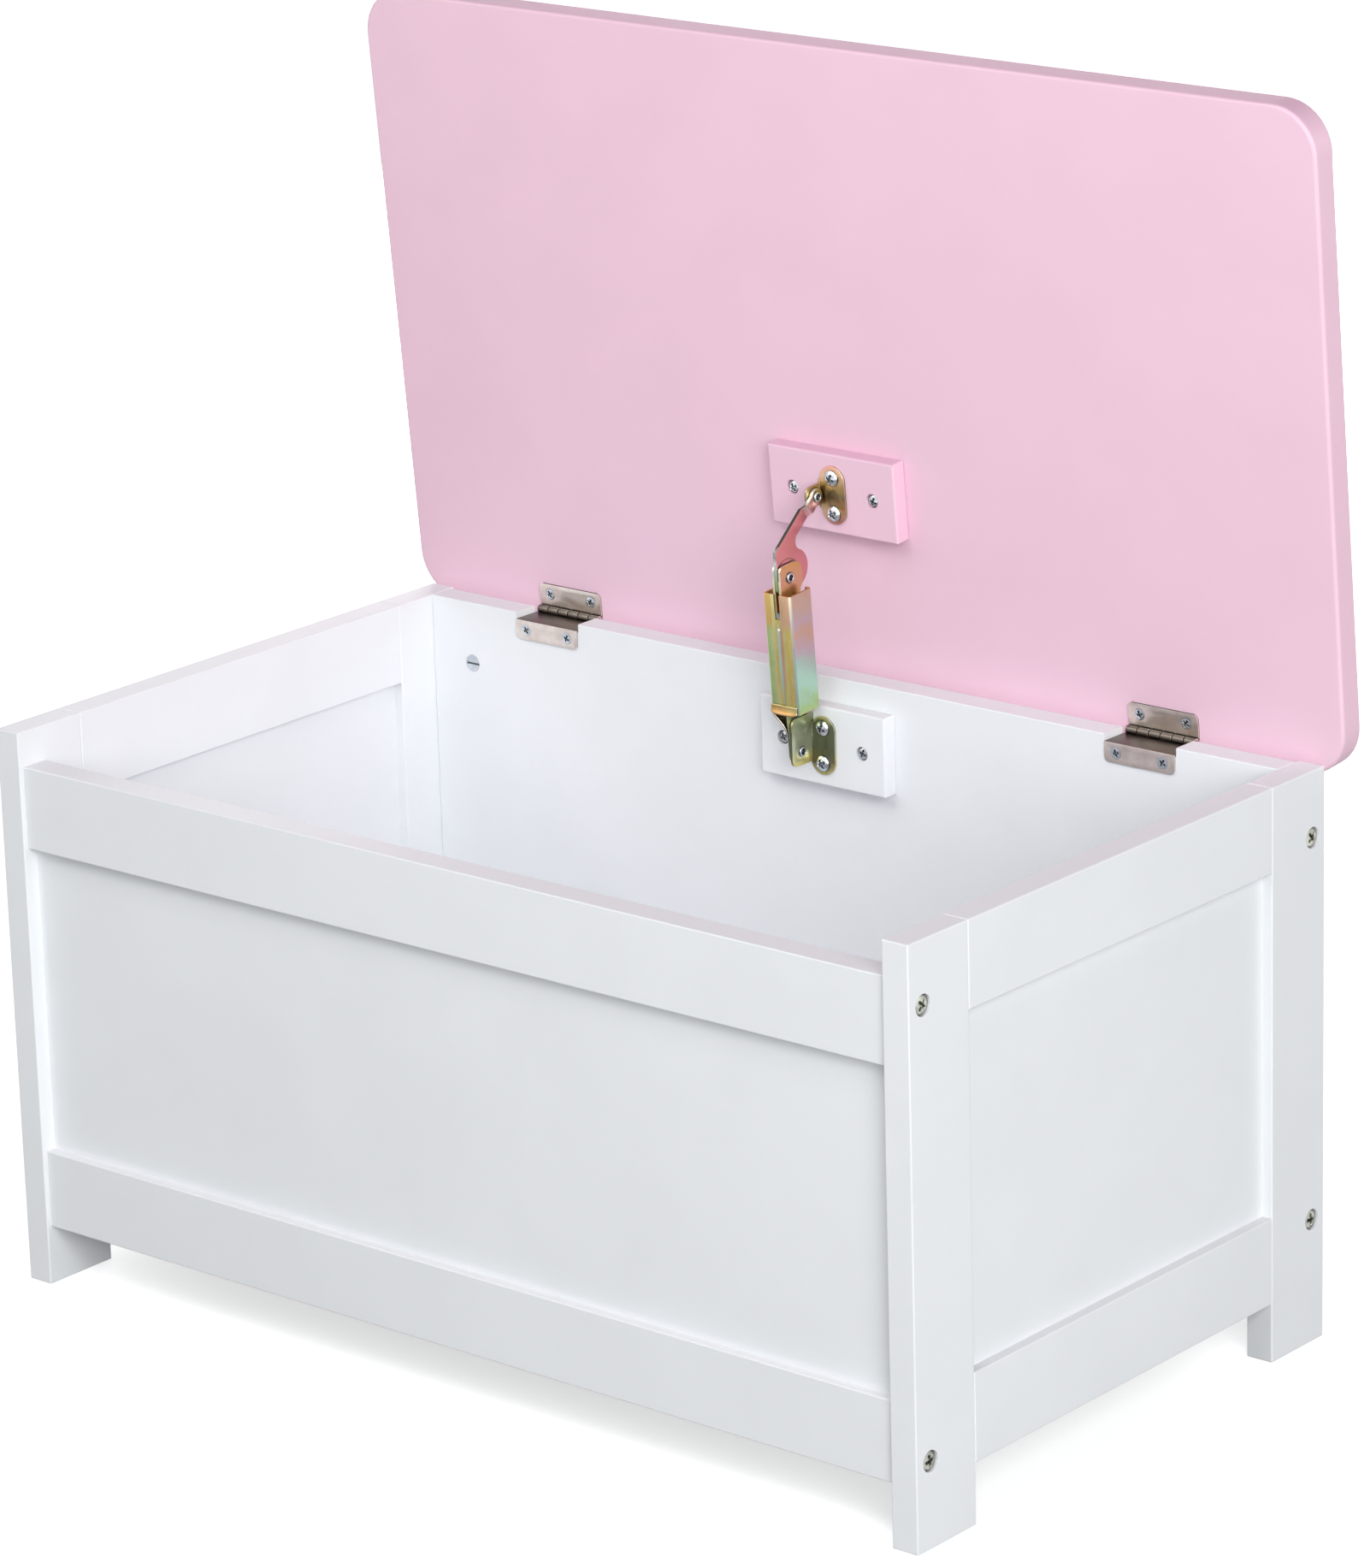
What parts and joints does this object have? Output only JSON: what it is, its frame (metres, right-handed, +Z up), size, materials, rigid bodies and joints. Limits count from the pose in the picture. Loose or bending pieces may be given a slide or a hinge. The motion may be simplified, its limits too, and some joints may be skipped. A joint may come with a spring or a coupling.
{
  "type": "toy chest",
  "caption": "Low painted chest on short legs, with an overhanging lid that is hinged at the back and held open by a sprung lid stay.",
  "frame": {"origin": "middle of the chest's footprint on the floor: centred between the side frames, and midway between the faces of the front legs and the back of the opened lid", "axes": "+Z up, +X to the right of someone who looks at the front panel, +Y from the front panel to the hinged back"},
  "size_m": [0.637, 0.3674, 0.6632],
  "materials": {
    "white_lacquer": "satin white lacquer on fibreboard",
    "pink_lacquer": "satin pale pink lacquer on fibreboard",
    "nickel_plate": "nickel-plated pressed steel, soft warm sheen",
    "bright_zinc": "bright zinc-plated steel, bluish",
    "yellow_zinc": "yellow chromated zinc on pressed steel, iridescent",
    "rose_zinc": "rose and orange chromated zinc on pressed steel, iridescent",
    "beech": "raw beech, fluted dowels",
    "spring_steel": "dark spring steel",
    "brake_pad": "grey acetal"
  },
  "bodies": {
    "chest": {"left_front_post": "white_lacquer", "right_front_post": "white_lacquer", "left_back_post": "white_lacquer", "right_back_post": "white_lacquer", "left_top_rail": "white_lacquer", "right_top_rail": "white_lacquer", "left_bottom_rail": "white_lacquer", "right_bottom_rail": "white_lacquer", "left_side_panel": "white_lacquer", "right_side_panel": "white_lacquer", "front_top_rail": "white_lacquer", "front_bottom_rail": "white_lacquer", "front_panel": "white_lacquer", "back_board": "white_lacquer", "floor_panel": "white_lacquer", "box_stay_block": "white_lacquer", "side_bolts": "bright_zinc", "barrel_nuts": "bright_zinc", "rail_dowels": "beech", "frame_dowels": "beech", "box_block_screws": "bright_zinc", "left_box_leaf": "nickel_plate", "right_box_leaf": "nickel_plate", "hinge_pins": "nickel_plate", "box_hinge_screws": "bright_zinc", "box_bracket": "yellow_zinc", "box_bracket_screws": "bright_zinc", "box_rivet": "bright_zinc"},
    "lid": {"lid": "pink_lacquer", "lid_stay_block": "pink_lacquer", "lid_block_screws": "bright_zinc", "left_lid_leaf": "nickel_plate", "right_lid_leaf": "nickel_plate", "lid_hinge_screws": "bright_zinc", "lid_bracket": "yellow_zinc", "lid_bracket_screws": "bright_zinc"},
    "stay_spring_housing": {"stay_housing": "yellow_zinc", "stay_strap": "yellow_zinc", "stay_spring": "spring_steel", "stay_clevis": "rose_zinc", "brake_pad": "brake_pad", "middle_rivet": "bright_zinc"},
    "stay_lever": {"stay_arm": "rose_zinc", "lid_rivet": "bright_zinc"}
  },
  "joints": [
    {"name": "lid_hinge", "type": "hinge", "parent": "chest", "child": "lid", "pos_m": [0, 0.16481, 0.3126], "axis": [1, 0, 0], "range_deg": [0, 85]},
    {"name": "stay_box_pivot", "type": "hinge", "parent": "chest", "child": "stay_spring_housing", "pos_m": [-0.008, 0.12531, 0.277], "axis": [1, 0, 0], "range_deg": [0, 92.3]},
    {"name": "stay_lid_pivot", "type": "hinge", "parent": "lid", "child": "stay_lever", "pos_m": [-0.008, 0.14153, 0.41576], "axis": [1, 0, 0], "range_deg": [-101.9, 0]}
  ],
  "couplings": [
    {"joint": "stay_box_pivot", "follows": "lid_hinge", "ratio": 1.0853},
    {"joint": "stay_lid_pivot", "follows": "lid_hinge", "ratio": -1.1979}
  ]
}
